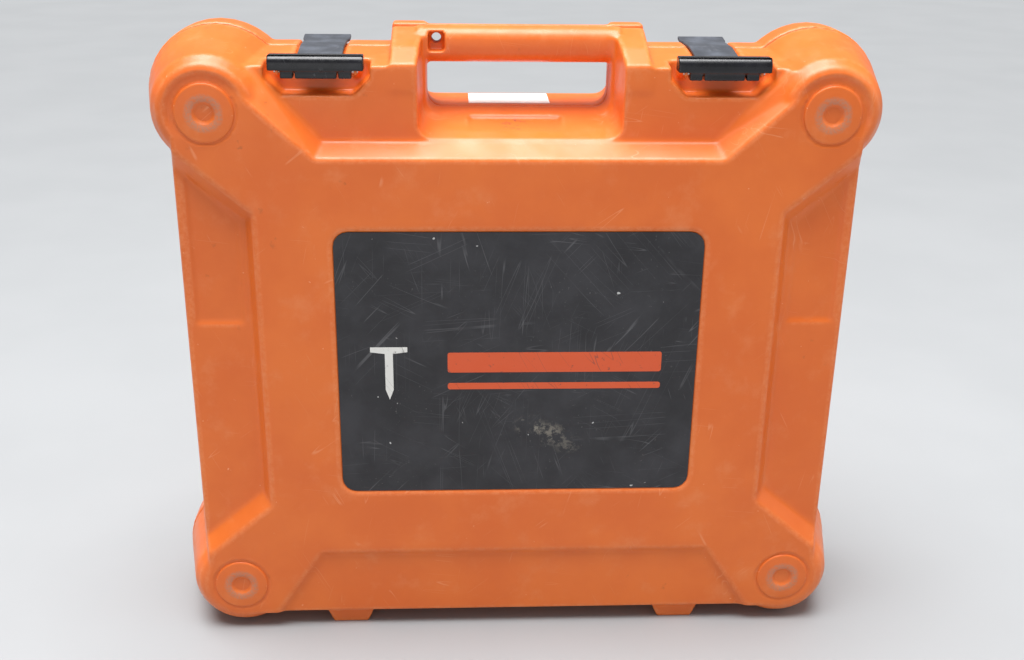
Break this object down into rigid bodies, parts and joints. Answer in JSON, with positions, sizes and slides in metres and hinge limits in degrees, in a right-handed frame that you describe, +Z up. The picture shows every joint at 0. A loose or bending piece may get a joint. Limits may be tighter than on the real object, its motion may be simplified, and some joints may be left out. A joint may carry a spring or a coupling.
{
  "type": "nail gun carry case",
  "caption": "Upright blow-moulded carry case with corner bumpers, carry handle, snap latches and a recessed label, holding a powder-actuated nail gun in a moulded tray.",
  "frame": {"origin": "centre of the floor footprint's bounding box, at floor level", "axes": "+X to the right seen from the label side, +Y from the lid to the base, +Z up to the handle"},
  "size_m": [0.472, 0.1184, 0.4115],
  "materials": {
    "orange_shell": "satin moulded polyethylene",
    "orange_liner": "matt moulded polyethylene",
    "black_plastic": "satin black nylon",
    "label": "scuffed vinyl label",
    "paper": "white paper",
    "steel": "brushed",
    "dark_steel": "blackened steel",
    "spring_steel": "oiled spring wire",
    "grip_plastic": "textured black nylon",
    "rubber": "matt",
    "dial_red": "satin",
    "strip_plastic": "satin",
    "card": "plain brown card",
    "wood": "oiled",
    "bristle": "natural bristle"
  },
  "bodies": {
    "base": {"base_outer_shell": "orange_shell", "base_tray": "orange_liner", "paper_sticker": "paper", "hinge_pin_left": "steel", "hinge_pin_right": "steel", "tool_receiver": "dark_steel", "tool_front_collar": "steel", "tool_breech_block": "steel", "tool_firing_pin": "steel", "tool_pin_spring": "spring_steel", "tool_barrel_spring": "spring_steel", "tool_rear_cap": "dark_steel", "tool_grip_front": "grip_plastic", "tool_grip_rear": "grip_plastic", "tool_trigger_pin": "steel", "tool_grip_screw_1": "steel", "tool_grip_screw_2": "steel", "tool_grip_screw_3": "steel", "tool_grip_screw_4": "steel", "fastener_box": "card", "cartridge_box": "strip_plastic", "brush_handle": "wood", "brush_bristles": "bristle", "hex_key": "dark_steel"},
    "lid": {"lid_outer_shell": "orange_shell", "lid_liner": "orange_liner", "label_panel": "label", "latch_rod_left": "steel", "latch_rod_right": "steel"},
    "latch_left": {"latch_left": "black_plastic"},
    "latch_right": {"latch_right": "black_plastic"},
    "tool_barrel": {"tool_barrel": "steel", "tool_muzzle_bush": "dark_steel", "tool_spall_guard": "rubber", "tool_piston": "steel", "tool_piston_stop": "rubber"},
    "tool_trigger": {"tool_trigger": "black_plastic"},
    "tool_power_dial": {"tool_power_dial": "dial_red"},
    "tool_cartridge_strip": {"tool_cartridge_strip": "strip_plastic"}
  },
  "joints": [
    {"name": "lid_hinge", "type": "hinge", "parent": "base", "child": "lid", "pos_m": [0, 0, 0.011], "axis": [1, 0, 0], "range_deg": [0, 100]},
    {"name": "latch_left_hinge", "type": "hinge", "parent": "lid", "child": "latch_left", "pos_m": [-0.124, -0.043, 0.3885], "axis": [1, 0, 0], "range_deg": [0, 110]},
    {"name": "latch_right_hinge", "type": "hinge", "parent": "lid", "child": "latch_right", "pos_m": [0.124, -0.043, 0.3885], "axis": [1, 0, 0], "range_deg": [0, 110]},
    {"name": "barrel_slide", "type": "slide", "parent": "base", "child": "tool_barrel", "axis": [1, 0, 0], "range_m": [0, 0.016], "stiffness_N_per_m": 900, "springref_m": -0.02, "deforming": ["tool_barrel_spring"]},
    {"name": "trigger_hinge", "type": "hinge", "parent": "base", "child": "tool_trigger", "pos_m": [0.078, 0.015, 0.184], "axis": [0, -1, 0], "range_deg": [0, 14], "stiffness_Nm_per_rad": 0.5, "springref_deg": -8.59},
    {"name": "power_dial_turn", "type": "hinge", "parent": "base", "child": "tool_power_dial", "pos_m": [0.126, 0.015, 0.215], "axis": [1, 0, 0], "range_deg": [0, 270]},
    {"name": "strip_feed", "type": "slide", "parent": "base", "child": "tool_cartridge_strip", "axis": [0, 0, 1], "range_m": [0, 0.027]}
  ]
}
